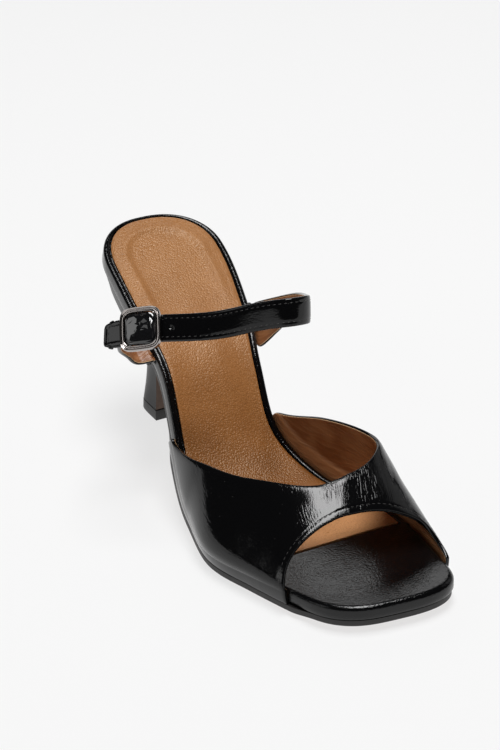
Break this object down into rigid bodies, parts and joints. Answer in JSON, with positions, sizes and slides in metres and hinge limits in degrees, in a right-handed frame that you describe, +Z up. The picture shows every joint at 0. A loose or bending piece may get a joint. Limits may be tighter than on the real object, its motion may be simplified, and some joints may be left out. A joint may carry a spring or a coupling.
{
  "type": "heeled peep-toe sandal",
  "caption": "Right open-toe sandal with a peep-toe vamp, a buckled instep strap, a padded footbed and a slim sculpted heel.",
  "frame": {"origin": "middle of the shoe's bounding box, on the floor it stands on", "axes": "-Y to the toe, +Y to the heel, +X to the big-toe side, +Z up"},
  "size_m": [0.0988, 0.23, 0.1068],
  "materials": {
    "outsole": "matte",
    "footbed": "gloss",
    "sock": "satin",
    "heel": "gloss",
    "top_lift": "matte",
    "vamp": "gloss",
    "instep_strap": "gloss",
    "buckle_strap": "gloss",
    "buckle_frame": "polished",
    "buckle_stone": "gloss"
  },
  "bodies": {
    "root": {"outsole": "outsole", "footbed": "footbed", "sock": "sock", "heel": "heel", "top_lift": "top_lift", "vamp": "vamp", "instep_strap": "instep_strap", "buckle_strap": "buckle_strap", "buckle_frame": "buckle_frame", "buckle_stone": "buckle_stone"}
  },
  "joints": []
}
